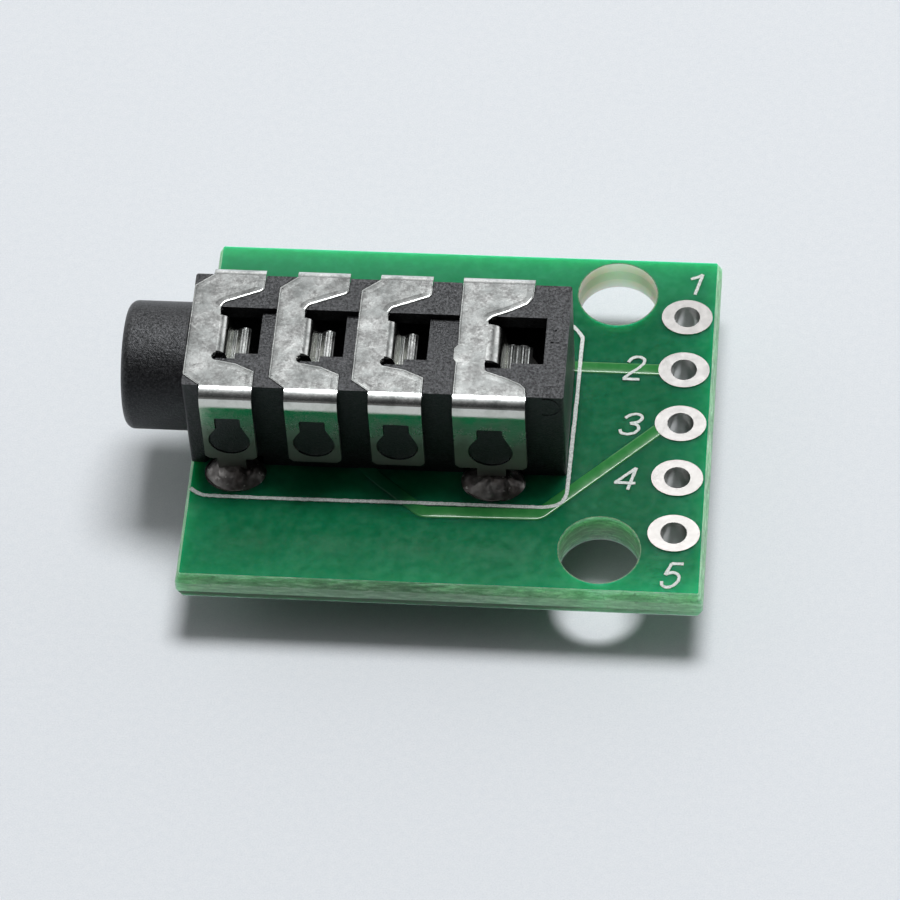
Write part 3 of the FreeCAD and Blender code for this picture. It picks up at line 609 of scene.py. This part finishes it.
# --------------------------------------------------------------------- camera
AZ, EL, ROLL = math.radians(7.544), math.radians(52.551), math.radians(-3.822)
back = Vector((math.sin(AZ) * math.cos(EL), -math.cos(AZ) * math.cos(EL), math.sin(EL)))
right = Vector((math.cos(AZ), math.sin(AZ), 0.0))
up = back.cross(right)
r2 = right * math.cos(ROLL) + up * math.sin(ROLL)
u2 = up * math.cos(ROLL) - right * math.sin(ROLL)
cam = bpy.data.objects.new("camera", bpy.data.cameras.new("camera"))
scene.collection.objects.link(cam)
cam.data.sensor_width = 36.0
cam.data.lens = 4849.5 / 900.0 * 36.0
cam.data.clip_start, cam.data.clip_end = 0.01, 5.0
pos = P(-8.49, -1.621, 0.0) + back * 0.18023
cam.matrix_world = Matrix((
    (r2.x, u2.x, back.x, pos.x),
    (r2.y, u2.y, back.y, pos.y),
    (r2.z, u2.z, back.z, pos.z),
    (0, 0, 0, 1)))
scene.camera = cam

# ---------------------------------------------------------------------- stage
def floor_material():
    m = Mat("pale_floor")
    n = m.noise(3.5, 3.0, 0.6)
    grain = m.noise(16.0, 2.0, 0.7)
    base = m.mix(m.rng(n, 0.3, 0.7, 0.0, 1.0), (0.70, 0.735, 0.775), (0.735, 0.765, 0.80))
    base = m.mix(m.rng(grain, 0.50, 0.75, 0.0, 0.22), base, (0.95, 0.97, 1.0))
    base = m.mix(m.rng(grain, 0.48, 0.25, 0.0, 0.22), base, (0.50, 0.53, 0.56))
    m.b.inputs["Specular IOR Level"].default_value = 0.25
    return m.out(Base_Color=base, Roughness=m.rng(n, 0.3, 0.7, 0.55, 0.65))


bm = bmesh.new()
bmesh.ops.create_grid(bm, x_segments=4, y_segments=4, size=0.6)
me = bpy.data.meshes.new("floor")
bm.to_mesh(me)
bm.free()
floor = bpy.data.objects.new("floor", me)
scene.collection.objects.link(floor)
floor.data.materials.append(floor_material())

# towards the main soft light: behind, a little to the right, high
mid = P(-8.5, 0.0, 0.0)
L = Vector((0.070, 0.327, 1.0)).normalized()

world = bpy.data.worlds.new("studio")
scene.world = world
world.use_nodes = True
wt = world.node_tree
bg = wt.nodes["Background"]
wc = wt.nodes.new("ShaderNodeTexCoord")
wn = wt.nodes.new("ShaderNodeVectorMath")
wn.operation = "NORMALIZE"
wt.links.new(wc.outputs["Generated"], wn.inputs[0])
wd = wt.nodes.new("ShaderNodeVectorMath")
wd.operation = "DOT_PRODUCT"
wt.links.new(wn.outputs["Vector"], wd.inputs[0])
wd.inputs[1].default_value = L


def wmath(op, a, b=None, clamp=False):
    n = wt.nodes.new("ShaderNodeMath")
    n.operation, n.use_clamp = op, clamp
    for i, v in enumerate((a, b)):
        if isinstance(v, (int, float)):
            n.inputs[i].default_value = v
        elif v is not None:
            wt.links.new(v, n.inputs[i])
    return n.outputs["Value"]


ws = wt.nodes.new("ShaderNodeSeparateXYZ")
wt.links.new(wn.outputs["Vector"], ws.inputs["Vector"])
sx, sy, sz = ws.outputs["X"], ws.outputs["Y"], ws.outputs["Z"]
# soft halo round the main light, pale backdrop low behind, weak light from the left
halo = wmath("MULTIPLY", wmath("EXPONENT", wmath("MULTIPLY", wmath("SUBTRACT", wd.outputs["Value"], 1.0), 50.0)), 3.2)
low = wmath("SUBTRACT", 1.0, wmath("MULTIPLY", wmath("SUBTRACT", sz, 0.45), 4.0, True), True)
backdrop = wmath("MULTIPLY", wmath("MULTIPLY", wmath("MULTIPLY", wmath("ADD", sy, 0.25), 1.6, True), low), 0.85)
left = wmath("MULTIPLY", wmath("MULTIPLY", sx, -1.3, True), 0.19)
# a narrow overhead band that fades towards the front, and a faint bright horizon
lobe = wmath("MULTIPLY", wmath("EXPONENT", wmath("MULTIPLY", wmath("SUBTRACT", wd.outputs["Value"], 1.0), 6.0)), 1.6)
across = wmath("SUBTRACT", 1.0, wmath("POWER", wmath("MULTIPLY", wmath("ADD", sx, 0.09), 6.0), 2.0), True)
ahead = wmath("SUBTRACT", 1.0, wmath("MULTIPLY", wmath("ADD", sy, 0.0), 4.0), True)
band = wmath("MULTIPLY", wmath("MULTIPLY", lobe, across), ahead)
rise = wmath("SUBTRACT", 1.0, wmath("POWER", wmath("MULTIPLY", wmath("SUBTRACT", sz, 0.17), 7.0), 2.0), True)
horizon = wmath("MULTIPLY", wmath("MULTIPLY", wmath("MULTIPLY", sy, -1.4, True), rise), 0.13)
total = wmath("ADD", wmath("ADD", wmath("ADD", halo, backdrop), wmath("ADD", left, 0.003)), wmath("ADD", band, horizon))
bg.inputs["Color"].default_value = (1.0, 1.0, 1.0, 1.0)
wt.links.new(total, bg.inputs["Strength"])


# the main light, wider across than deep
d = bpy.data.lights.new("key", "AREA")
d.shape = "ELLIPSE"
d.size, d.size_y = 0.28, 0.18
d.energy = 2.68
key = bpy.data.objects.new("key", d)
scene.collection.objects.link(key)
kx = (Vector((1.0, 0.0, 0.0)) - L * L.x).normalized()
ky = L.cross(kx)
kp = mid + L * 0.60
key.matrix_world = Matrix((
    (kx.x, ky.x, L.x, kp.x),
    (kx.y, ky.y, L.y, kp.y),
    (kx.z, ky.z, L.z, kp.z),
    (0, 0, 0, 1)))
